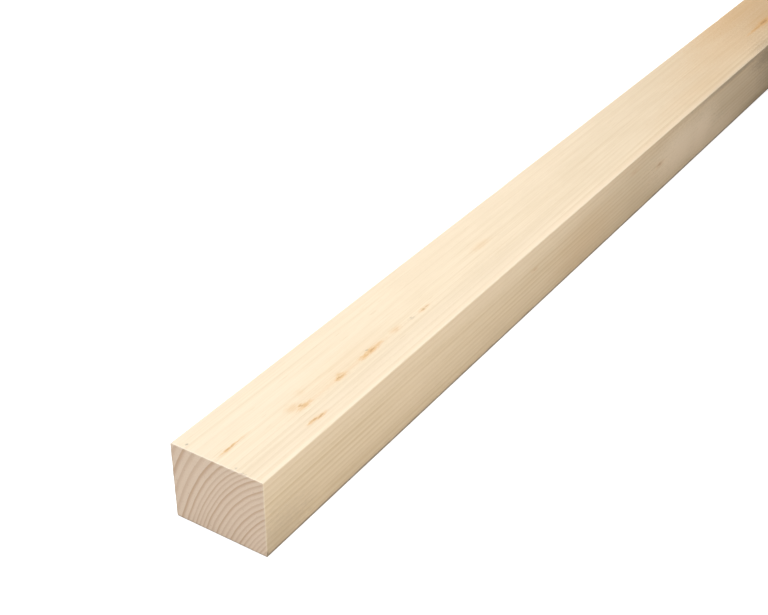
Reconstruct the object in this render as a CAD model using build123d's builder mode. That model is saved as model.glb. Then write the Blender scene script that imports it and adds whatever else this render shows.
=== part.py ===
"""Planed softwood timber post, lying on its wide face.

One length of squared timber: planed on four sides, with its long edges eased and its
two ends cut square. X runs along the grain, Y across the width and Z up from the underside.
The origin is the middle of the underside.
"""

import os

from build123d import *

# Driving dimensions, in millimetres
width = 50.0  # planed width, across the top face
thickness = 40.0  # planed thickness, underside to top face
length = 1800.0  # stock length, between the square saw cuts
arris_radius = 0.5  # light easing of the four long edges

# The squared section, standing on the floor line, drawn out along the grain
with BuildPart() as timber_post:
    with BuildSketch(Plane.YZ) as section:
        Rectangle(width, thickness, align=(Align.CENTER, Align.MIN))
    extrude(amount=length / 2, both=True)

    # The planed arrises are eased from end to end, and the saw cuts stay square
    long_arrises = timber_post.edges().filter_by(Axis.X)
    fillet(long_arrises, radius=arris_radius)

timber_post.part.label = "timber_post"

os.makedirs("parts", exist_ok=True)
export_step(timber_post.part, "parts/timber_post.step")
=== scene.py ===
# %% [markdown]
# A planed timber post, lying on its wide face.
# The post is one length of softwood: planed on four sides, with eased long edges and
# two square saw cuts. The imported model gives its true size, so it comes first and stays
# fixed. Everything below dresses that one solid: a finer skin with grain relief, a wood
# that runs right through it, and a plain studio to look at it in.

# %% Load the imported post
import math

import bpy
import numpy as np
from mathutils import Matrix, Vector


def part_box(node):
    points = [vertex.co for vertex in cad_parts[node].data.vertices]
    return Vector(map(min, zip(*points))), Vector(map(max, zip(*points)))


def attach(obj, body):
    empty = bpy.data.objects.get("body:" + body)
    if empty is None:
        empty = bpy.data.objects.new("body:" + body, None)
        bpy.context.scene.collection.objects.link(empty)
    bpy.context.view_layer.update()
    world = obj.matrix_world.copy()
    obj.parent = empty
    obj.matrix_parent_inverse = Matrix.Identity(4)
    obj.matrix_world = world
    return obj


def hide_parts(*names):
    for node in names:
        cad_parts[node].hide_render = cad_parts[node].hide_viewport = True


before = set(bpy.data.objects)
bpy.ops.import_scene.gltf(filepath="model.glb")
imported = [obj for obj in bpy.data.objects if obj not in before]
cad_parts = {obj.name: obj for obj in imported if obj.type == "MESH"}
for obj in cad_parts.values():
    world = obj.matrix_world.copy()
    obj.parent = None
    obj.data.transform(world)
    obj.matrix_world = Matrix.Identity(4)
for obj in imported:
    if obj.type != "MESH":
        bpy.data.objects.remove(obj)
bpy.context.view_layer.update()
low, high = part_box("timber_post")
near_x = low.x
MM = 0.001

cad_points = np.array([v.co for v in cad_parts["timber_post"].data.vertices])
on_top = cad_points[cad_points[:, 2] > high.z - 0.01 * MM]
arris_radius = high.y - on_top[:, 1].max()
print("post", [round(s / MM, 1) for s in high - low], "mm, arris", round(arris_radius / MM, 2), "mm")

# %% [markdown]
# The camera is the first thing to settle, because every later choice is judged through it.
# It could be turned by hand until the picture looks right. Stating where it looks, from
# which side, how high and how far is easier to read and to change: it looks down at the
# top face a little way in from the near end, so the post runs off the upper right corner.

# %% Camera
aim_along = 141.9 * MM
aim_across = 8.87 * MM
view_azimuth = math.radians(-56.700)
view_elevation = math.radians(31.745)
view_distance = 0.6716

aim = Vector((near_x + aim_along, aim_across, high.z))
level = math.cos(view_elevation)
away = Vector((math.sin(view_azimuth) * level, -math.cos(view_azimuth) * level, math.sin(view_elevation)))

camera_data = bpy.data.cameras.new("studio_camera")
camera_data.sensor_width = 36.0
camera_data.lens = 63.53
camera_data.clip_start = 0.01
camera = bpy.data.objects.new("studio_camera", camera_data)
camera.location = aim + away * view_distance
camera.rotation_mode = "QUATERNION"
camera.rotation_quaternion = (-away).to_track_quat("-Z", "Y")
bpy.context.scene.collection.objects.link(camera)
bpy.context.scene.camera = camera
print("camera at", [round(c, 3) for c in camera.location])

# %% [markdown]
# Wood is a solid pattern: the lines on the faces and the arcs on the ends are one set of
# growth rings, cut at different angles. So the rings are described once, in space.
# The heart of this tree lies outside the post, past the front side and below the underside.
# The rings are slightly oval, and they run flatter towards the upper back edge. Some years
# were slow and some fast, so the ring width comes in bands, counted from the heart outwards.
# The relief and the colour both read these values.

# %% Growth rings in space
heart_y = low.y - 43.36 * MM
heart_z = low.z - 45.8 * MM
ring_squeeze = 1.238
flat_pull = (1.34 * MM, 0.92 * MM)
first_radius = 70.4 * MM
# How many rings, and their width in mm
growth_bands = [(5, 2.06), (3, 2.5), (4, 2.83), (2, 3.14), (4, 2.25), (1, 3.0), (1, 3.8), (8, 4.4)]

ring_radii = [first_radius]
ring_counts = [0]
for rings, ring_width in growth_bands:
    ring_radii.append(ring_radii[-1] + rings * ring_width * MM)
    ring_counts.append(ring_counts[-1] + rings)

# Where latewood begins, peaks and stops in a ring, and where the first ring starts
late_start, late_full, late_end = 0.32, 0.84, 0.91
ring_shift = 0.875
# Years with a dark line: the ring, and how dark
hard_years = {7: 1.0, 9: 0.65, 12: 0.70, 14: 0.75, 17: 0.55, 19: 0.65, 20: 0.85, 23: 0.85}
half_width, half_height = (high.y - low.y) / 2, (high.z - low.z) / 2
middle_z = low.z + half_height

# The heart wanders a little along the tree: reach and wavelength, across and up
wander_across = [(0.9 * MM, 1.70), (0.25 * MM, 0.53)]
wander_up = [(-1.4 * MM, 2.30), (0.30 * MM, 0.71)]


def wander(along, waves):
    """How far the heart has moved aside at each distance along the tree."""
    return sum(reach * np.sin(along * 2 * math.pi / wave) for reach, wave in waves)


def latewood_at(points):
    """How far each point lies in the dense outer part of its ring, 0 to 1."""
    along = points[..., 0] - near_x
    across = (points[..., 1] - heart_y + wander(along, wander_across)) * ring_squeeze
    up = points[..., 2] - heart_z + wander(along, wander_up)
    side = points[..., 1] / half_width
    lift = (points[..., 2] - middle_z) / half_height
    pull = side * lift * (flat_pull[0] + flat_pull[1] * lift)
    phase = np.interp(np.hypot(across, up) - pull, ring_radii, ring_counts) + ring_shift
    share = phase - np.floor(phase)
    rise = np.clip((share - late_start) / (late_full - late_start), 0, 1)
    fall = np.clip((1 - share) / (1 - late_end), 0, 1)
    return rise * rise * (3 - 2 * rise) * fall * fall * (3 - 2 * fall)


print("rings described:", ring_counts[-1])
print("their radii in mm:", round(ring_radii[0] / MM, 1), "to", round(ring_radii[-1] / MM, 1))

# %% [markdown]
# Small knots and resin streaks are where thin twigs grew out of the stem. On a planed face
# each is a dark core with an orange, resin-stained halo drawn out along the grain.
# They are listed once, by face and place, so that the relief and the colour agree.
# The same form of list serves for torn specks and for broad patches. Some patches are paler
# wood, and two long pale strips along upper edges are painted light. Some are more resinous,
# and those on the top at 630 to 690 mm also stand for the darker, warmer far end: painted
# shade. The darker patches are all painted shade. Patches have no core, only a halo.

# %% Knots and resin streaks
# face, distance from the near end, place on the face from its front or lower edge,
# half length along the grain and half width across it, all in mm, then core and halo strength
knot_list = [
    ("top", 11.6, 26.6, 3.6, 0.47, 0.65, 0.92),
    ("top", 8.3, 26.4, 2.4, 0.80, 0.00, 0.28),
    ("top", 19.2, 26.6, 3.0, 0.45, 0.06, 0.38),
    ("top", 52.4, 19.4, 1.1, 0.90, 0.60, 0.60),
    ("top", 53.9, 18.0, 3.4, 0.80, 0.25, 0.75),
    ("top", 48.9, 21.3, 2.2, 1.60, 0.00, 0.35),
    ("top", 46.9, 8.2, 2.7, 0.58, 0.70, 0.78),
    ("top", 51.5, 7.6, 2.5, 0.58, 0.76, 0.70),
    ("top", 60.3, 25.9, 1.5, 1.00, 0.00, 0.18),
    ("top", 80.7, 17.5, 3.0, 0.85, 0.78, 0.80),
    ("top", 81.6, 19.1, 1.2, 0.80, 0.12, 0.45),
    ("top", 101.4, 17.7, 3.2, 0.85, 0.15, 0.80),
    ("top", 107.1, 17.9, 3.6, 0.95, 0.62, 0.85),
    ("top", 112.2, 18.1, 3.2, 0.75, 0.10, 0.60),
    ("top", 128.1, 18.1, 2.4, 1.00, 0.08, 0.36),
    ("top", 151.1, 16.9, 2.0, 0.68, 0.42, 0.46),
    ("top", 154.4, 17.1, 1.8, 0.60, 0.36, 0.38),
    ("top", 84.1, 17.7, 22.0, 0.60, 0.00, 0.26),
    ("top", 223.2, 25.6, 5.0, 1.40, 0.00, 0.24),
    ("top", 640.6, 19.3, 8.0, 1.45, 0.88, 0.95),
    ("top", 624.0, 19.1, 10.5, 0.75, 0.42, 0.85),
    ("top", 1012.0, 31.0, 3.0, 1.10, 0.55, 0.65),
    ("top", 1386.0, 15.0, 4.0, 1.00, 0.50, 0.65),
    ("front", 407.1, 20.6, 4.0, 1.20, 0.54, 0.25),
    ("front", 367.2, 31.4, 4.0, 1.00, 0.15, 0.20),
    ("front", 238.9, 25.5, 2.6, 0.70, 0.30, 0.20),
    ("front", 1118.0, 12.0, 3.2, 1.10, 0.50, 0.55),
    ("back", 522.0, 22.0, 3.5, 1.20, 0.55, 0.60),
    ("back", 1236.0, 14.0, 2.4, 0.90, 0.50, 0.60),
    ("under", 336.0, 30.0, 3.0, 1.10, 0.55, 0.60),
    ("under", 1480.0, 21.0, 4.0, 1.10, 0.50, 0.55),
]

# Torn specks first, then the patches, in the same order of values
speck_list = [
    ("top", 3.2, 43.3, 0.8, 0.65, 0.60, 0.0),
    ("top", 1.8, 15.7, 0.8, 0.60, 0.45, 0.0),
    ("top", 0.6, 11.3, 0.8, 0.60, 0.60, 0.0),
    ("top", 0.8, 9.5, 0.7, 0.55, 0.55, 0.0),
    ("top", 105.6, 19.8, 1.0, 0.65, 0.45, 0.0),
    ("top", 141.0, 17.2, 2.2, 1.10, 0.32, 0.0),
    ("top", 152.8, 16.9, 2.2, 0.70, 0.12, 0.0),
]
# Paler wood; the long strips at the top of the front side and along the back edge of the top are painted
# light.
pale_and_lit_list = [
    ("front", 443.8, 18.6, 27.0, 9.5, 0.0, 0.90),
    ("front", 476.0, 15.5, 15.0, 10.5, 0.0, 0.95),
    ("front", 507.4, 6.2, 26.0, 5.0, 0.0, 0.70),
    ("front", 117.3, 21.7, 16.0, 6.0, 0.0, 0.20),
    ("front", 188.4, 39.7, 160.0, 5.0, 0.0, 0.36),
    ("top", 305.7, 45.2, 90.0, 6.0, 0.0, 0.16),
]
# Resinous patches; the four on the top at 630 to 690 mm are also painted shade for the darker, warmer far
# end.
resin_and_shade_list = [
    ("top", 628.9, 24.6, 75.0, 14.0, 0.0, 0.36),
    ("top", 677.6, 24.6, 50.0, 13.0, 0.0, 0.55),
    ("top", 657.0, 41.5, 60.0, 10.5, 0.0, 0.55),
    ("top", 508.0, 10.5, 46.0, 6.0, 0.0, 0.21),
    ("top", 650.3, 21.6, 26.0, 10.0, 0.0, 0.60),
    ("top", 85.0, 23.5, 18.0, 3.5, 0.0, 0.10),
    ("front", 301.6, 12.0, 22.0, 13.0, 0.0, 0.14),
    ("front", 419.3, 36.9, 40.0, 4.0, 0.0, 0.12),
]
# Painted shade: the lower corner by the near end, the floor edge, the top near its front edge, a line under
# the top arris and the darker far end.
shade_patch_list = [
    ("front", 8.4, 2.7, 14.0, 9.0, 0.0, 0.24),
    ("front", 148.9, -0.2, 150.0, 5.0, 0.0, 0.08),
    ("top", 130.0, 7.5, 100.0, 4.5, 0.0, 0.10),
    ("top", 682.4, 23.6, 44.0, 15.0, 0.0, 0.20),
    ("front", 611.0, 22.2, 17.0, 14.0, 0.0, 0.28),
    ("front", 600.0, 2.5, 26.0, 2.0, 0.0, 0.32),
    ("front", 601.0, 33.0, 17.0, 5.5, 0.0, 0.56),
    ("front", 548.0, 38.5, 52.0, 0.9, 0.0, 0.44),
]


def knot_centre(face, along, place):
    """A place on a face, as a point in space."""
    x = near_x + along * MM
    if face == "top":
        return Vector((x, low.y + place * MM, high.z))
    if face == "under":
        return Vector((x, low.y + place * MM, low.z))
    return Vector((x, low.y if face == "front" else high.y, low.z + place * MM))


def placed(marks):
    """Turns a list of marks into points, sizes in metres and strengths."""
    return [
        (knot_centre(face, along, place), half_long * MM, half_wide * MM, core, halo)
        for face, along, place, half_long, half_wide, core, halo in marks
    ]


knots = placed(knot_list)
specks = placed(speck_list)
print("knots and streaks:", len(knots), "specks:", len(specks))

# %% [markdown]
# The skin of the post is a loft: one outline across the grain, repeated along the length.
# A subdivided box would spend its faces evenly. Grain is narrow across and long along, so
# the outline gets a point about every half millimetre, while the stations along the length
# stand close together only at the ends and round the knots.

# %% Outline across the grain and stations along it
flat_steps = (88, 70, 88, 70)  # under, back, top, front
arris_steps = 4
stations = 256
# How close the stations stand: in the open, at the ends and at knots, and how far that reaches
open_spacing = 9.5 * MM
end_spacing, end_reach = 1.2 * MM, 12 * MM
knot_spacing, knot_margin = 2.4 * MM, 3 * MM
density_samples = 7201

arc_y = high.y - arris_radius
arc_low, arc_high = low.z + arris_radius, high.z - arris_radius
arc_centres = [(arc_y, arc_low), (arc_y, arc_high), (-arc_y, arc_high), (-arc_y, arc_low)]

outline, outward = [], []
for turn, (steps, centre) in enumerate(zip(flat_steps, arc_centres)):
    facing = np.array([math.cos((turn - 1) * math.pi / 2), math.sin((turn - 1) * math.pi / 2)])
    start = np.array(arc_centres[turn - 1]) + arris_radius * facing
    end = np.array(centre) + arris_radius * facing
    for step in range(steps):
        outline.append(start + (end - start) * step / steps)
        outward.append(facing)
    for step in range(arris_steps):
        angle = (turn - 1 + step / arris_steps) * math.pi / 2
        direction = np.array([math.cos(angle), math.sin(angle)])
        outline.append(np.array(centre) + arris_radius * direction)
        outward.append(direction)
outline, outward = np.array(outline), np.array(outward)
around = len(outline)

fine = np.linspace(low.x, high.x, density_samples)
density = np.full_like(fine, 1 / open_spacing)
for end_x in (low.x, high.x):
    density += np.exp(-np.abs(fine - end_x) / end_reach) / end_spacing
for centre, half_long, *_ in knots + specks:
    density += np.exp(-((fine - centre.x) / (half_long + knot_margin)) ** 2) / knot_spacing
reached = np.concatenate([[0], np.cumsum((density[1:] + density[:-1]) / 2 * np.diff(fine))])
station_x = np.interp(np.linspace(0, reached[-1], stations), reached, fine)
widest_gap = np.diff(station_x).max()
print("outline points:", around, "stations:", stations, "widest gap", round(widest_gap / MM, 1), "mm")

# %% [markdown]
# A planed face is not quite flat. The soft earlywood sits a few hundredths of a millimetre
# lower than the latewood, knots are a little dished, the planer leaves long shallow waves,
# and the eased arrises carry small nicks from handling. All of it is cut inwards from the
# nominal size, so the dressed post never grows past the real one.

# %% Relief of the planed faces
washboard = 0.045 * MM
planer_wave = 0.05 * MM
long_wave, short_wave = 0.61, 0.23  # metres along the post
long_lean, short_lean = 40, 55  # how far the waves lean across and up, in radians per metre
knot_dish = 0.12 * MM
nick_depth = 0.26 * MM
nick_reach = 0.8 * MM
nick_half_range = (2.0, 7.0)  # mm along the arris
nicks_per_arris = 9
dice = np.random.default_rng(11)

grid = np.empty((stations, around, 3))
grid[..., 0] = station_x[:, None]
grid[..., 1] = outline[None, :, 0]
grid[..., 2] = outline[None, :, 1]

cut = washboard * (1 - latewood_at(grid))
slow = np.sin(grid[..., 0] * 2 * math.pi / long_wave + long_lean * grid[..., 1])
quick = np.sin(grid[..., 0] * 2 * math.pi / short_wave + short_lean * grid[..., 2])
cut += planer_wave * (0.5 + 0.5 * slow * quick)
for centre, half_long, half_wide, core, _ in knots + specks:
    reach = np.array([half_long, half_wide, half_wide])
    gap = np.linalg.norm((grid - np.array(centre)) / reach, axis=-1)
    cut += knot_dish * core * np.exp(-gap * gap)

flat_starts = np.cumsum([0] + [steps + arris_steps for steps in flat_steps])
for turn in range(4):
    arris_middle = outline[flat_starts[turn] + flat_steps[turn] + arris_steps // 2]
    nearness = np.exp(-(np.linalg.norm(outline - arris_middle, axis=1) / nick_reach) ** 2)
    for _ in range(nicks_per_arris):
        nick_x = dice.uniform(low.x, high.x)
        nick_half = dice.uniform(*nick_half_range) * MM
        depth = nick_depth * dice.uniform(0.3, 1.0)
        cut += depth * np.exp(-((station_x - nick_x) / nick_half) ** 2)[:, None] * nearness[None, :]

skin = grid.copy()
skin[..., 1:] -= cut[..., None] * outward[None, :, :]
print("relief up to", round(cut.max() / MM, 2), "mm deep, mean", round(cut.mean() / MM, 3), "mm")

# %% [markdown]
# The saw leaves each end flat and square, with fine parallel marks, and it breaks tiny chips
# out of the edge it leaves through. Each end is a grid that meets the skin point for point,
# so the post stays one closed surface. A narrow broken edge runs round it, wider at a chip.

# %% Saw-cut ends
edge_break = 0.14 * MM
cap_border = 1.0 * MM
chip_size = 0.4 * MM
chip_half = 0.8 * MM
near_chips = [(-8.8, 0.7), (-13.2, 1.0), (-15.3, 0.8), (19.2, 0.5)]  # mm across the top edge, and strength
saw_mark = 0.05 * MM
saw_pitch = 1.9 * MM
saw_lean = math.radians(77)
ring_relief = 0.05 * MM

ragged_edge = dice.random((2, around))
ragged_edge = (np.roll(ragged_edge, 1, axis=1) + ragged_edge + np.roll(ragged_edge, -1, axis=1)) / 3
break_size = edge_break * (0.6 + 0.8 * ragged_edge)
for place, strength in near_chips:
    gap = np.hypot(outline[:, 0] - place * MM, outline[:, 1] - high.z)
    break_size[0] += chip_size * strength * np.exp(-((gap / chip_half) ** 2))

rows, columns = flat_steps[1], flat_steps[0]
cap_y, cap_z = np.meshgrid(
    np.linspace(low.y + cap_border, high.y - cap_border, columns + 1),
    np.linspace(low.z + cap_border, high.z - cap_border, rows + 1),
)


def end_points(end):
    """The broken edge and the sawn grid of one end: 0 is the near end, 1 the far one."""
    plane_x, inwards = (low.x, 1) if end == 0 else (high.x, -1)
    rim = np.empty((around, 3))
    rim[:, 0] = plane_x
    rim[:, 1:] = skin[-end, :, 1:] - break_size[end][:, None] * outward
    face = np.stack([np.full_like(cap_y, plane_x), cap_y, cap_z], axis=-1)
    stroke = face[..., 1] * math.cos(saw_lean) + face[..., 2] * math.sin(saw_lean)
    depth = saw_mark * (0.5 + 0.5 * np.sin(stroke * 2 * math.pi / saw_pitch))
    depth += ring_relief * (1 - latewood_at(face))
    face[..., 0] += inwards * depth
    skin[-end, :, 0] = plane_x + inwards * break_size[end]
    return rim, face.reshape(-1, 3)


near_rim, near_face = end_points(0)
far_rim, far_face = end_points(1)
print("each end has", len(near_face), "grid points")
print("mean width of the broken edge:", round(break_size.mean() / MM, 2), "mm")

# %% [markdown]
# Now the points become one mesh. The long faces are quads between stations. Each end adds
# its broken edge, a border strip, a small fan at each arris and the sawn grid.
# Two materials sit on the one mesh: planed wood along the grain and sawn wood on the ends.

# %% Join everything into one closed mesh
sharp_angle = math.radians(32)

points = np.concatenate([skin.reshape(-1, 3), near_rim, near_face, far_rim, far_face])
near_rim_at = stations * around
near_face_at = near_rim_at + around
far_rim_at = near_face_at + len(near_face)
far_face_at = far_rim_at + around

ring_now = np.arange(around)
ring_next = np.roll(ring_now, -1)


def between(first, second):
    """Quads that join two loops round the post, facing out when the second lies further along."""
    return np.stack([first + ring_now, first + ring_next, second + ring_next, second + ring_now], axis=1)


def cap_faces(rim_at, face_at):
    """Quads and corner triangles of an end, seen from the far side of the post."""
    number = face_at + np.arange((rows + 1) * (columns + 1)).reshape(rows + 1, columns + 1)
    quads = np.stack([number[:-1, :-1], number[:-1, 1:], number[1:, 1:], number[1:, :-1]], axis=-1)
    borders = [number[0], number[:, -1], number[-1, ::-1], number[::-1, 0]]
    faces = [quads.reshape(-1, 4).tolist()]
    for turn, border in enumerate(borders):
        outer = rim_at + flat_starts[turn] + np.arange(len(border))
        faces.append(np.stack([outer[:-1], outer[1:], border[1:], border[:-1]], axis=1).tolist())
        fan = (flat_starts[turn] + flat_steps[turn] + np.arange(arris_steps + 1)) % around + rim_at
        faces.append([[a, b, int(border[-1])] for a, b in zip(fan[:-1].tolist(), fan[1:].tolist())])
    return [face for group in faces for face in group]


long_faces = np.concatenate([between(i * around, (i + 1) * around) for i in range(stations - 1)]).tolist()
near_faces = between(near_rim_at, 0).tolist() + [f[::-1] for f in cap_faces(near_rim_at, near_face_at)]
far_faces = between((stations - 1) * around, far_rim_at).tolist() + cap_faces(far_rim_at, far_face_at)

mesh = bpy.data.meshes.new("timber_post_skin")
mesh.from_pydata(points.tolist(), [], long_faces + near_faces + far_faces)
on_end = np.zeros(len(mesh.polygons), np.int32)
on_end[len(long_faces):] = 1
mesh.polygons.foreach_set("material_index", on_end)
mesh.polygons.foreach_set("use_smooth", np.ones(len(mesh.polygons), bool))
mesh.set_sharp_from_angle(angle=sharp_angle)
triangles = sum(len(face) - 2 for face in long_faces + near_faces + far_faces)
post = bpy.data.objects.new("planed_timber_post", mesh)
bpy.context.scene.collection.objects.link(post)
print("post mesh:", len(points), "points,", triangles, "triangles")

# %% [markdown]
# A picture map lets the wood be stored as an image later. Blender's own unwrap would lay a
# long thin post out at a coarse scale. Here each long face is cut into two strips that lie
# above one another, drawn finer across the grain than along it, and the two ends get the
# room that is left, because their rings are the finest detail.

# %% Picture map in strips
strip_count = 2
gap_share = 0.003
strip_band = 0.72
end_scale = 5.4  # map widths per metre on the ends

around_reach = np.concatenate([[0], np.cumsum(np.linalg.norm(outline[ring_next] - outline, axis=1))])
strip_of_point = np.searchsorted(flat_starts, np.arange(around), side="right") - 1
strip_scale = (strip_band / strip_count - 4 * gap_share) / around_reach[-1]
segment_edges = [0, stations // 2, stations - 1]

station_of = np.repeat(np.arange(stations - 1), around)
point_of = np.tile(np.arange(around), stations - 1)
segment_of = (station_of >= segment_edges[1]).astype(int)
corner_station = station_of[:, None] + np.array([0, 0, 1, 1])
corner_point = point_of[:, None] + np.array([0, 1, 1, 0])
edges_x = station_x[segment_edges]
segment_start = edges_x[segment_of][:, None]
segment_length = np.diff(edges_x)[segment_of][:, None]
along_share = (station_x[corner_station] - segment_start) / segment_length
map_u = gap_share + along_share * (1 - 2 * gap_share)
map_v = around_reach[corner_point] * strip_scale
map_v += (strip_of_point[point_of] + 0.5)[:, None] * gap_share
map_v += segment_of[:, None] * strip_band / strip_count

end_room = (high.y - low.y) * end_scale + 4 * gap_share
uv = np.stack([map_u.ravel(), map_v.ravel()], axis=1).tolist()
for end, faces in enumerate((near_faces, far_faces)):
    corners = points[np.array([number for face in faces for number in face])]
    u = (corners[:, 1] - low.y) * end_scale + 2 * gap_share + end * end_room
    v = (corners[:, 2] - low.z) * end_scale + strip_band + 3 * gap_share
    uv += np.stack([u, v], axis=1).tolist()
bake_map = mesh.uv_layers.new(name="OFBake")
uv = np.array(uv, np.float32)
bake_map.data.foreach_set("uv", uv.ravel())
print("map spans", uv.min(axis=0).round(3).tolist(), "to", uv.max(axis=0).round(3).tolist())

# %% [markdown]
# The finish is made of shader nodes. A few helpers keep the node code readable: one adds a
# node and fills its sockets with values or links, the others are shorthand for arithmetic,
# soft steps, colour mixing and starting a node group with named sockets.

# %% Helpers for shader nodes
def add(tree, kind, sockets=None, **options):
    """Adds a shader node. Sockets are filled by name or number, with a value or a link."""
    node = tree.nodes.new("ShaderNode" + kind)
    for name, value in options.items():
        setattr(node, name, value)
    for name, value in (sockets or {}).items():
        if isinstance(value, bpy.types.NodeSocket):
            tree.links.new(value, node.inputs[name])
        else:
            node.inputs[name].default_value = value
    return node


def calc(tree, operation, *terms):
    """One step of arithmetic on values or links."""
    return add(tree, "Math", dict(enumerate(terms)), operation=operation).outputs[0]


def step_between(tree, value, start, end, low_value=0.0, high_value=1.0):
    """A soft step from low_value to high_value as value goes from start to end."""
    sockets = {"Value": value, "From Min": start, "From Max": end}
    sockets.update({"To Min": low_value, "To Max": high_value})
    return add(tree, "MapRange", sockets, interpolation_type="SMOOTHSTEP").outputs[0]


def mix(tree, share, first, second):
    """Goes from the first colour to the second as share goes from 0 to 1."""
    sockets = {0: share, 6: first, 7: second}
    return add(tree, "Mix", sockets, data_type="RGBA").outputs[2]


def stretched_noise(tree, position, per_metre, **sockets):
    """Cloudy noise with its own scale along, across and up, in features per metre."""
    place = add(tree, "VectorMath", {0: position, 1: per_metre}, operation="MULTIPLY").outputs[0]
    values = {"Vector": place, "Scale": 1.0}
    values.update({name.replace("_", " "): value for name, value in sockets.items()})
    return add(tree, "TexNoise", values).outputs[0]


def new_group(name, inputs, outputs):
    """Starts a node group with named sockets."""
    tree = bpy.data.node_groups.new(name, "ShaderNodeTree")
    for way, sockets in (("INPUT", inputs), ("OUTPUT", outputs)):
        for socket, kind in sockets.items():
            tree.interface.new_socket(socket, in_out=way, socket_type="NodeSocket" + kind)
    return tree, tree.nodes.new("NodeGroupInput"), tree.nodes.new("NodeGroupOutput")


def give(tree, result, **sockets):
    """Links what a group puts out."""
    for name, value in sockets.items():
        tree.links.new(value, result.inputs[name.replace("_", " ")])


def place_group(tree, group, **sockets):
    """Places a node group and fills its sockets with values or links."""
    node = add(tree, "Group", node_tree=group)
    for name, value in sockets.items():
        socket = node.inputs[name.replace("_", " ")]
        if isinstance(value, bpy.types.NodeSocket):
            tree.links.new(value, socket)
        else:
            socket.default_value = value
    return node


print("node helpers ready")

# %% [markdown]
# Growth rings, as nodes. The same formula as above turns a point into its distance from the
# heart and that distance into a ring count, through a curve with one point for each growth
# band. What is left after the whole rings is the place within a ring: pale earlywood that
# slowly darkens to latewood and then stops short. Each ring also gets its own tone.

# %% Node group: growth rings
rings_group, given, result = new_group(
    "growth_rings",
    {"Position": "Vector", "Deflect": "Float"},
    {"Latewood": "Float", "Tone": "Float", "Ring": "Float"},
)
tree = rings_group
ring_waver = 0.8 * MM
tone_curve, tone_top = 2.2, 0.5  # most rings stay faint, few are dark
split = add(tree, "SeparateXYZ", {0: given.outputs["Position"]})
along = calc(tree, "SUBTRACT", split.outputs[0], near_x)


def wander_nodes(tree, along, waves):
    """The same wander of the heart as above, in nodes."""
    total = None
    for reach, wave in waves:
        turn = calc(tree, "SINE", calc(tree, "MULTIPLY", along, 2 * math.pi / wave))
        swing = calc(tree, "MULTIPLY", turn, reach)
        total = swing if total is None else calc(tree, "ADD", total, swing)
    return total


across = calc(tree, "SUBTRACT", split.outputs[1], heart_y)
across = calc(tree, "ADD", across, wander_nodes(tree, along, wander_across))
across = calc(tree, "MULTIPLY", across, ring_squeeze)
up = calc(tree, "SUBTRACT", split.outputs[2], heart_z)
up = calc(tree, "ADD", up, wander_nodes(tree, along, wander_up))
radial = add(tree, "CombineXYZ", {1: across, 2: up}).outputs[0]
radius = add(tree, "VectorMath", {0: radial}, operation="LENGTH").outputs["Value"]
side = calc(tree, "DIVIDE", split.outputs[1], half_width)
lift = calc(tree, "DIVIDE", calc(tree, "SUBTRACT", split.outputs[2], middle_z), half_height)
bend = calc(tree, "MULTIPLY_ADD", lift, flat_pull[1], flat_pull[0])
pull = calc(tree, "MULTIPLY", calc(tree, "MULTIPLY", side, lift), bend)
radius = calc(tree, "SUBTRACT", radius, pull)

waver = stretched_noise(tree, given.outputs["Position"], (7, 120, 120), Detail=2.0, Roughness=0.5)
waver = calc(tree, "MULTIPLY", calc(tree, "SUBTRACT", waver, 0.5), ring_waver)
radius = calc(tree, "ADD", calc(tree, "ADD", radius, waver), given.outputs["Deflect"])

span = ring_radii[-1] - ring_radii[0]
share = calc(tree, "DIVIDE", calc(tree, "SUBTRACT", radius, ring_radii[0]), span)
count_curve = add(tree, "FloatCurve", {"Value": share})
curve = count_curve.mapping.curves[0]
curve.points[0].location = (0, 0)
curve.points[1].location = (1, 1)
for ring_radius, count in list(zip(ring_radii, ring_counts))[1:-1]:
    curve.points.new((ring_radius - ring_radii[0]) / span, count / ring_counts[-1])
for point in curve.points:
    point.handle_type = "VECTOR"
count_curve.mapping.update()
phase = calc(tree, "MULTIPLY_ADD", count_curve.outputs[0], float(ring_counts[-1]), ring_shift)
in_ring = calc(tree, "FRACT", phase)
rise = step_between(tree, in_ring, late_start, late_full)
fall = step_between(tree, in_ring, late_end, 1.0, 1.0, 0.0)
ring = calc(tree, "FLOOR", phase)
tone = add(tree, "TexWhiteNoise", {"W": ring}, noise_dimensions="1D").outputs["Value"]
tone = calc(tree, "MULTIPLY", calc(tree, "POWER", tone, tone_curve), tone_top)
for year, darkness in hard_years.items():
    that_year = calc(tree, "COMPARE", ring, float(year), 0.5)
    tone = calc(tree, "MAXIMUM", tone, calc(tree, "MULTIPLY", that_year, darkness))
give(tree, result, Latewood=calc(tree, "MULTIPLY", rise, fall), Tone=tone, Ring=phase)
print("growth_rings:", len(tree.nodes), "nodes")

# %% [markdown]
# Between the rings the wood has its own fine texture: long fibres that show as thin streaks,
# and soft cloudy patches where resin and water sat differently in the tree. Both are noise,
# stretched hard along the grain. The faces show streaks, and the ends show the same fibres
# as fine stipple, because there they are cut across.

# %% Node group: fibres
fibre_group, given, result = new_group(
    "wood_fibres",
    {"Position": "Vector"},
    {"Streak": "Float", "Mottle": "Float", "Stipple": "Float", "Canals": "Float"},
)
tree = fibre_group
position = given.outputs["Position"]
streak = stretched_noise(tree, position, (14, 1300, 1300), Detail=3.0, Roughness=0.6)
mottle = stretched_noise(tree, position, (22, 95, 95), Detail=4.0, Roughness=0.62, Distortion=0.3)
stipple = stretched_noise(tree, position, (160, 2400, 2400), Detail=2.0, Roughness=0.7)
canals = stretched_noise(tree, position, (70, 800, 800), Detail=1.0)
canals = step_between(tree, canals, 0.68, 0.76)
give(tree, result, Streak=streak, Mottle=mottle, Stipple=stipple, Canals=canals)
print("wood_fibres:", len(tree.nodes), "nodes")

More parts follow.
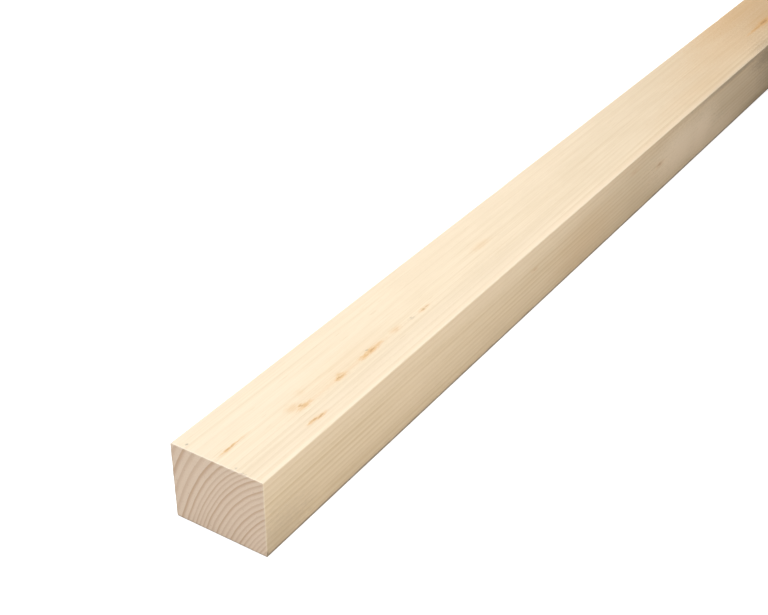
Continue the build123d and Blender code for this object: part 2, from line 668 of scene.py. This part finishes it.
# %% [markdown]
# One knot mark measures how far a point is from a knot, in knot sizes, and gives two masks:
# the dark core and the wider resin halo. A smooth oval would look painted, so the distance
# is roughened with noise that is drawn out along the grain, like torn fibres.
# The group is placed once for each knot in the list.

# %% Node group: knot mark
knot_group, given, result = new_group(
    "knot_mark",
    {"Position": "Vector", "Centre": "Vector", "Size": "Vector", "Ragged": "Float"},
    {"Core": "Float", "Halo": "Float"},
)
tree = knot_group
core_full, core_end = 0.15, 1.15  # in knot sizes from the centre
halo_full, halo_end = 0.3, 2.7

position, centre = given.outputs["Position"], given.outputs["Centre"]
offset = add(tree, "VectorMath", {0: position, 1: centre}, operation="SUBTRACT").outputs[0]
sized = add(tree, "VectorMath", {0: offset, 1: given.outputs["Size"]}, operation="DIVIDE").outputs[0]
gap = add(tree, "VectorMath", {0: sized}, operation="LENGTH").outputs["Value"]
gap = calc(tree, "ADD", gap, given.outputs["Ragged"])
core = step_between(tree, gap, core_full, core_end, 1.0, 0.0)
halo = step_between(tree, gap, halo_full, halo_end, 1.0, 0.0)
give(tree, result, Core=core, Halo=halo)
print("knot_mark:", len(tree.nodes), "nodes")

# %% [markdown]
# The edges carry painted light and shade. The upper ones are pale: partly rubbed by handling,
# partly a painted highlight along the eased arris. Those that lie low or face away get a
# painted shade line, a dark brown that stands for the contact shadow and the shaded side.
# No image map is needed. A point on an edge is close to two of the box's sides
# at once, so the middle one of its three distances to the sides says how near the closest
# edge is. Two more soft steps tell the low and the back edges from the others.

# %% Node group: edge wear, painted highlight and painted shade
edge_tone_group, given, result = new_group(
    "edge_wear_light_shade", {"Position": "Vector", "Reach": "Float"}, {"Rubbed": "Float", "Grimy": "Float"}
)
tree = edge_tone_group
position = given.outputs["Position"]
from_low = add(tree, "VectorMath", {0: position, 1: low}, operation="SUBTRACT").outputs[0]
from_high = add(tree, "VectorMath", {0: high, 1: position}, operation="SUBTRACT").outputs[0]
to_sides = add(tree, "VectorMath", {0: from_low, 1: from_high}, operation="MINIMUM").outputs[0]
a, b, c = add(tree, "SeparateXYZ", {0: to_sides}).outputs
between_two = calc(tree, "MINIMUM", calc(tree, "MAXIMUM", a, b), c)
edge_gap = calc(tree, "MAXIMUM", calc(tree, "MINIMUM", a, b), between_two)

patchy = stretched_noise(tree, position, (130, 420, 420), Detail=2.0)
reach = calc(tree, "MULTIPLY", given.outputs["Reach"], calc(tree, "ADD", patchy, 0.5))
reaches_away = calc(tree, "DIVIDE", edge_gap, reach)
# Pale edges: partly wear, partly a painted highlight on the arris.
worn_and_highlight = step_between(tree, reaches_away, 0.0, 1.0, 1.0, 0.0)
shade_reach = step_between(tree, reaches_away, 0.0, 2.0, 1.0, 0.0)

# Painted shade: the low edges, and the back edges below the top, get a dark line that stands for shadow.
to_under = add(tree, "SeparateXYZ", {0: from_low}).outputs[2]
to_back, to_top = add(tree, "SeparateXYZ", {0: from_high}).outputs[1:]
lies_low = step_between(tree, to_under, 1.5 * MM, 4.0 * MM, 1.0, 0.0)
faces_back = step_between(tree, to_back, 1.5 * MM, 4.0 * MM, 1.0, 0.0)
under_top = step_between(tree, to_top, 0.5 * MM, 2.0 * MM)
shaded_edges = calc(tree, "MAXIMUM", lies_low, calc(tree, "MULTIPLY", faces_back, under_top))
unshaded_edges = calc(tree, "SUBTRACT", 1.0, shaded_edges)
give(tree, result, Rubbed=calc(tree, "MULTIPLY", worn_and_highlight, unshaded_edges), Grimy=calc(tree, "MULTIPLY", shade_reach, shaded_edges))
print("edge_wear_light_shade:", len(tree.nodes), "nodes")

# %% [markdown]
# The planed wood starts with its marks. They could be painted by hand on a picture, but the
# lists already say where each one is, so every mark becomes a mask made of nodes. Where
# marks of one kind overlap, the strongest counts, so that they don't add up to a blot.

# %% Material: planed softwood, its marks
raggedness = 3.4  # in knot sizes, from the lowest noise to the highest

planed = bpy.data.materials.new("planed_softwood")
planed.use_nodes = True
tree = planed.node_tree
shader = tree.nodes["Principled BSDF"]
position = add(tree, "TexCoord").outputs["Object"]

ragged = stretched_noise(tree, position, (380, 1500, 1500), Detail=3.0, Roughness=0.65)
ragged = calc(tree, "MULTIPLY", calc(tree, "SUBTRACT", ragged, 0.5), raggedness)


def marks_mask(marks, output, strength_at):
    """The strongest of many knot marks at each point. Marks without strength are left out."""
    total = None
    for mark in marks:
        centre, half_long, half_wide = mark[:3]
        if mark[strength_at] == 0.0:
            continue
        size = (half_long, half_wide, half_wide)
        node = place_group(tree, knot_group, Position=position, Centre=centre, Size=size, Ragged=ragged)
        part = calc(tree, "MULTIPLY", node.outputs[output], mark[strength_at])
        total = part if total is None else calc(tree, "MAXIMUM", total, part)
    return total


core_mask = marks_mask(knots, "Core", 3)
speck_mask = marks_mask(specks, "Core", 3)
halo_mask = marks_mask(knots, "Halo", 4)
resin_and_shade_mask = marks_mask(placed(resin_and_shade_list), "Halo", 4)
pale_and_lit_mask = marks_mask(placed(pale_and_lit_list), "Halo", 4)
shade_patch_mask = marks_mask(placed(shade_patch_list), "Halo", 4)
print("planed_softwood: marks laid out with", len(tree.nodes), "nodes")

# %% [markdown]
# Along the grain the wood is pale cream earlywood with slightly darker latewood lines, thin
# fibre streaks and soft mottling. The rings bend round the knots. The lines come and go
# along the grain, and they are fainter in the wide outer rings, except on the back, which
# cuts those rings flat. The patches and the knots are laid over it, halo first and core
# last; some of the patches are painted light and painted shade. The edges come on top of
# them all: pale rubbed edges that are partly a painted highlight, and a painted shade line
# on the low and back edges.

# %% Colour of the planed faces
earlywood = (0.815, 0.655, 0.465, 1)
latewood = (0.650, 0.472, 0.268, 1)
cloudy = (0.720, 0.560, 0.375, 1)
resin_stain_and_shade = (0.690, 0.400, 0.160, 1)
knot_brown = (0.470, 0.250, 0.100, 1)
pale_wood_and_light = (0.950, 0.765, 0.565, 1)
# Pale of rubbed edges, also a painted highlight on the arrises
rubbed_pale_highlight = (0.900, 0.780, 0.610, 1)
# Dark brown of torn specks, also the painted shade of the darker patches and of the sawn ends' low edges
speck_and_shade_brown = (0.300, 0.220, 0.145, 1)
# Painted shade: the dark line on the low and back edges, standing for the contact shadow
contact_shade_brown = (0.200, 0.140, 0.090, 1)
bend_round_knots = 0.7 * MM
streak_share, cloud_share, canal_share = 0.34, 0.32, 0.30
# Shares of the pale edges with their painted highlight, and of the painted contact shade
rub_highlight_share, contact_shade_share = 0.50, 0.90

deflect = calc(tree, "MULTIPLY", halo_mask, bend_round_knots)
rings = place_group(tree, rings_group, Position=position, Deflect=deflect)
fibres = place_group(tree, fibre_group, Position=position)
edge_tones = place_group(tree, edge_tone_group, Position=position, Reach=1.0 * MM)

come_and_go = stretched_noise(tree, position, (5, 90, 90), Detail=2.0)
come_and_go = step_between(tree, come_and_go, 0.35, 0.65, 0.45, 1.0)
in_sapwood = step_between(tree, rings.outputs["Ring"], 11.0, 21.0, 1.0, 0.30)
across = add(tree, "SeparateXYZ", {0: position}).outputs[1]
on_back = step_between(tree, across, high.y - 2.0 * MM, high.y - 0.5 * MM, 0.0, 0.75)
in_sapwood = calc(tree, "MAXIMUM", in_sapwood, on_back)
line_strength = step_between(tree, rings.outputs["Tone"], 0.0, 1.0, 0.38, 0.78)
line = calc(tree, "MULTIPLY", rings.outputs["Latewood"], line_strength)
line = calc(tree, "MULTIPLY", line, calc(tree, "MULTIPLY", come_and_go, in_sapwood))
colour = mix(tree, line, earlywood, latewood)
streaks = step_between(tree, fibres.outputs["Streak"], 0.42, 0.75, 0.0, streak_share)
colour = mix(tree, streaks, colour, latewood)
clouds = step_between(tree, fibres.outputs["Mottle"], 0.35, 0.70, 0.0, cloud_share)
colour = mix(tree, clouds, colour, cloudy)
colour = mix(tree, calc(tree, "MULTIPLY", fibres.outputs["Canals"], canal_share), colour, latewood)
# Resin patches, partly painted shade at the far end
colour = mix(tree, resin_and_shade_mask, colour, resin_stain_and_shade)
# Paler wood, and painted light along the upper edges
colour = mix(tree, pale_and_lit_mask, colour, pale_wood_and_light)
# Painted shade from the darker patches
colour = mix(tree, shade_patch_mask, colour, speck_and_shade_brown)
colour = mix(tree, halo_mask, colour, resin_stain_and_shade)
colour = mix(tree, core_mask, colour, knot_brown)
colour = mix(tree, speck_mask, colour, speck_and_shade_brown)
# Pale edges, partly a painted highlight, then the painted shade line on the low and back edges
colour = mix(tree, calc(tree, "MULTIPLY", edge_tones.outputs["Rubbed"], rub_highlight_share), colour, rubbed_pale_highlight)
colour = mix(tree, calc(tree, "MULTIPLY", edge_tones.outputs["Grimy"], contact_shade_share), colour, contact_shade_brown)
tree.links.new(colour, shader.inputs["Base Color"])
print("planed_softwood: colour done with", len(tree.nodes), "nodes")

# %% [markdown]
# Latewood is denser than earlywood, so it planes a little smoother and stands a little
# proud. A very shallow bump adds the fibres that are too fine for the mesh.

# %% Feel of the planed faces
bump_depth = 0.10 * MM
knot_polish = 0.12  # how much smoother the knots are

grain_height = calc(tree, "MULTIPLY", fibres.outputs["Streak"], 0.7)
grain_height = calc(tree, "ADD", grain_height, rings.outputs["Latewood"])
bump = add(tree, "Bump", {"Strength": 0.22, "Distance": bump_depth, "Height": grain_height})
tree.links.new(bump.outputs[0], shader.inputs["Normal"])
roughness = step_between(tree, fibres.outputs["Streak"], 0.3, 0.7, 0.52, 0.64)
roughness = calc(tree, "SUBTRACT", roughness, calc(tree, "MULTIPLY", core_mask, knot_polish))
tree.links.new(roughness, shader.inputs["Roughness"])
shader.inputs["Specular IOR Level"].default_value = 0.35
mesh.materials.append(planed)
print("planed_softwood:", len(tree.nodes), "nodes")

# %% [markdown]
# The sawn ends show the same rings as arcs. Cut across, the fibres drink in light, so the
# end is a pinker, duller beige with clearer dark lines, fine stipple and faint saw marks,
# and it has hardly any shine.

# %% Material: sawn end grain
end_early = (0.708, 0.567, 0.445, 1)
end_late = (0.530, 0.362, 0.250, 1)
end_canal_share, end_rub_highlight_share, end_contact_shade_share = 0.45, 0.35, 0.50
end_bump_depth = 0.12 * MM

sawn = bpy.data.materials.new("sawn_end_grain")
sawn.use_nodes = True
tree = sawn.node_tree
shader = tree.nodes["Principled BSDF"]
position = add(tree, "TexCoord").outputs["Object"]
rings = place_group(tree, rings_group, Position=position, Deflect=0.0)
fibres = place_group(tree, fibre_group, Position=position)
edge_tones = place_group(tree, edge_tone_group, Position=position, Reach=0.5 * MM)

line_strength = step_between(tree, rings.outputs["Tone"], 0.0, 1.0, 0.50, 0.95)
line = calc(tree, "MULTIPLY", rings.outputs["Latewood"], line_strength)
colour = mix(tree, line, end_early, end_late)
stipple_share = step_between(tree, fibres.outputs["Stipple"], 0.35, 0.75, 0.0, 0.35)
colour = mix(tree, stipple_share, colour, end_late)
colour = mix(tree, calc(tree, "MULTIPLY", fibres.outputs["Canals"], end_canal_share), colour, end_late)
# Pale edges, partly a painted highlight, and the painted shade line on the low and back edges of the ends
colour = mix(tree, calc(tree, "MULTIPLY", edge_tones.outputs["Rubbed"], end_rub_highlight_share), colour, rubbed_pale_highlight)
colour = mix(tree, calc(tree, "MULTIPLY", edge_tones.outputs["Grimy"], end_contact_shade_share), colour, speck_and_shade_brown)
tree.links.new(colour, shader.inputs["Base Color"])

saw_stretch = stretched_noise(tree, position, (1, 260, 2600), Detail=2.0)
end_height = calc(tree, "MULTIPLY", saw_stretch, 0.6)
end_height = calc(tree, "ADD", end_height, calc(tree, "MULTIPLY", fibres.outputs["Stipple"], 0.5))
end_height = calc(tree, "ADD", end_height, calc(tree, "MULTIPLY", rings.outputs["Latewood"], 0.6))
bump = add(tree, "Bump", {"Strength": 0.35, "Distance": end_bump_depth, "Height": end_height})
tree.links.new(bump.outputs[0], shader.inputs["Normal"])
roughness = step_between(tree, fibres.outputs["Stipple"], 0.3, 0.7, 0.78, 0.92)
tree.links.new(roughness, shader.inputs["Roughness"])
shader.inputs["Specular IOR Level"].default_value = 0.2
mesh.materials.append(sawn)
print("sawn_end_grain:", len(tree.nodes), "nodes")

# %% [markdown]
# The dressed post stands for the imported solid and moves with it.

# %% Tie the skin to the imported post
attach(post, "root")
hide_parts("timber_post")
print("post rides on root and stands for timber_post")

# %% [markdown]
# The studio starts with a wide, plain floor. A white floor would throw so much light back
# up that the sides of the post lose their shade, so the floor itself is a mid grey, and
# only for the camera a lift of plain white is added on top, as a retoucher would do.
# The lift stops just short of the post, so the thin shadow under its lower edges stays dark.

# %% Floor
floor_half = 30.0
floor_gap = 0.1 * MM
floor_grey = (0.50, 0.50, 0.50, 1)
floor_lift = 0.88
lift_from, lift_full = -0.25 * MM, 0.05 * MM  # distance outside the post

floor_mesh = bpy.data.meshes.new("studio_floor")
floor_corners = [(-1, -1), (1, -1), (1, 1), (-1, 1)]
floor_points = [(x * floor_half, y * floor_half, low.z - floor_gap) for x, y in floor_corners]
floor_mesh.from_pydata(floor_points, [], [(0, 1, 2, 3)])
floor = bpy.data.objects.new("studio_floor", floor_mesh)
bpy.context.scene.collection.objects.link(floor)
floor_paint = bpy.data.materials.new("pale_floor")
floor_paint.use_nodes = True
tree = floor_paint.node_tree
shader = tree.nodes["Principled BSDF"]
shader.inputs["Base Color"].default_value = floor_grey
shader.inputs["Roughness"].default_value = 0.9
shader.inputs["Specular IOR Level"].default_value = 0.1
shader.inputs["Emission Color"].default_value = (1, 1, 1, 1)
seen = add(tree, "LightPath").outputs["Is Camera Ray"]
position = add(tree, "TexCoord").outputs["Object"]
spot = add(tree, "VectorMath", {0: position}, operation="ABSOLUTE").outputs[0]
past_box = add(tree, "VectorMath", {0: spot, 1: high}, operation="SUBTRACT").outputs[0]
outside = add(tree, "SeparateXYZ", {0: past_box})
from_post = calc(tree, "MAXIMUM", outside.outputs[0], outside.outputs[1])
lit = calc(tree, "MULTIPLY", seen, step_between(tree, from_post, lift_from, lift_full))
tree.links.new(calc(tree, "MULTIPLY", lit, floor_lift), shader.inputs["Emission Strength"])
floor_mesh.materials.append(floor_paint)
print("floor", 2 * floor_half, "m wide")

# %% [markdown]
# The light is soft and plain too. A cool and a warm box hang above and behind the near half,
# so the top is the brightest face and the post darkens gently along its length. Weaker boxes
# open up the front side and both ends, and an even glow fills what is left. The far half has
# two boxes of its own, one above and one at the side. They have grids in front of them, which
# narrow their beams, so that they hardly touch the near half.
# A straight colour response keeps the pale wood clean.

# %% Lights
open_beam = math.radians(180)
grid_beam = math.radians(80)


def soft_box(name, place, target, size, watts, colour, beam=open_beam):
    """A square area light, turned to face a target. Both places count along from the near end."""
    lamp = bpy.data.lights.new(name, "AREA")
    lamp.shape = "SQUARE"
    lamp.size = size
    lamp.energy = watts
    lamp.color = colour
    lamp.spread = beam
    box = bpy.data.objects.new(name, lamp)
    box.location = Vector(place) + Vector((near_x, 0, 0))
    box.rotation_mode = "QUATERNION"
    box.rotation_quaternion = (Vector(target) - Vector(place)).to_track_quat("-Z", "Y")
    box.visible_camera = False
    bpy.context.scene.collection.objects.link(box)
    return box


soft_box("near_overhead_box", (0.02, 0.50, 0.75), (0.02, 0.0, 0.04), 0.50, 5.5, (0.515, 0.71, 1.00))
soft_box("middle_overhead_box", (0.52, 0.62, 1.00), (0.52, 0.0, 0.04), 0.60, 8.1, (1.00, 0.955, 0.85))
soft_box("far_overhead_box", (1.40, 0.50, 1.10), (1.40, 0.0, 0.04), 0.60, 1.75, (1.00, 0.94, 0.85), grid_beam)
soft_box("side_box", (0.10, -0.46, 0.36), (0.10, 0.0, 0.02), 0.35, 1.98, (1.00, 0.99, 0.925))
soft_box("end_box", (-0.95, -0.10, 0.30), (0.0, 0.0, 0.02), 0.60, 6.25, (1.00, 0.99, 0.935))
soft_box("far_side_box", (1.32, -0.60, 0.45), (1.32, 0.0, 0.02), 0.40, 0.80, (1.00, 0.96, 0.89), grid_beam)
soft_box("far_end_box", (2.75, -0.10, 0.30), (1.80, 0.0, 0.02), 0.60, 5.5, (1.00, 0.97, 0.91))

world = bpy.data.worlds.new("studio_glow")
world.use_nodes = True
glow = world.node_tree.nodes["Background"]
glow.inputs["Color"].default_value = (1.00, 0.90, 0.82, 1)
glow.inputs["Strength"].default_value = 0.166
bpy.context.scene.world = world
bpy.context.scene.view_settings.view_transform = "Standard"
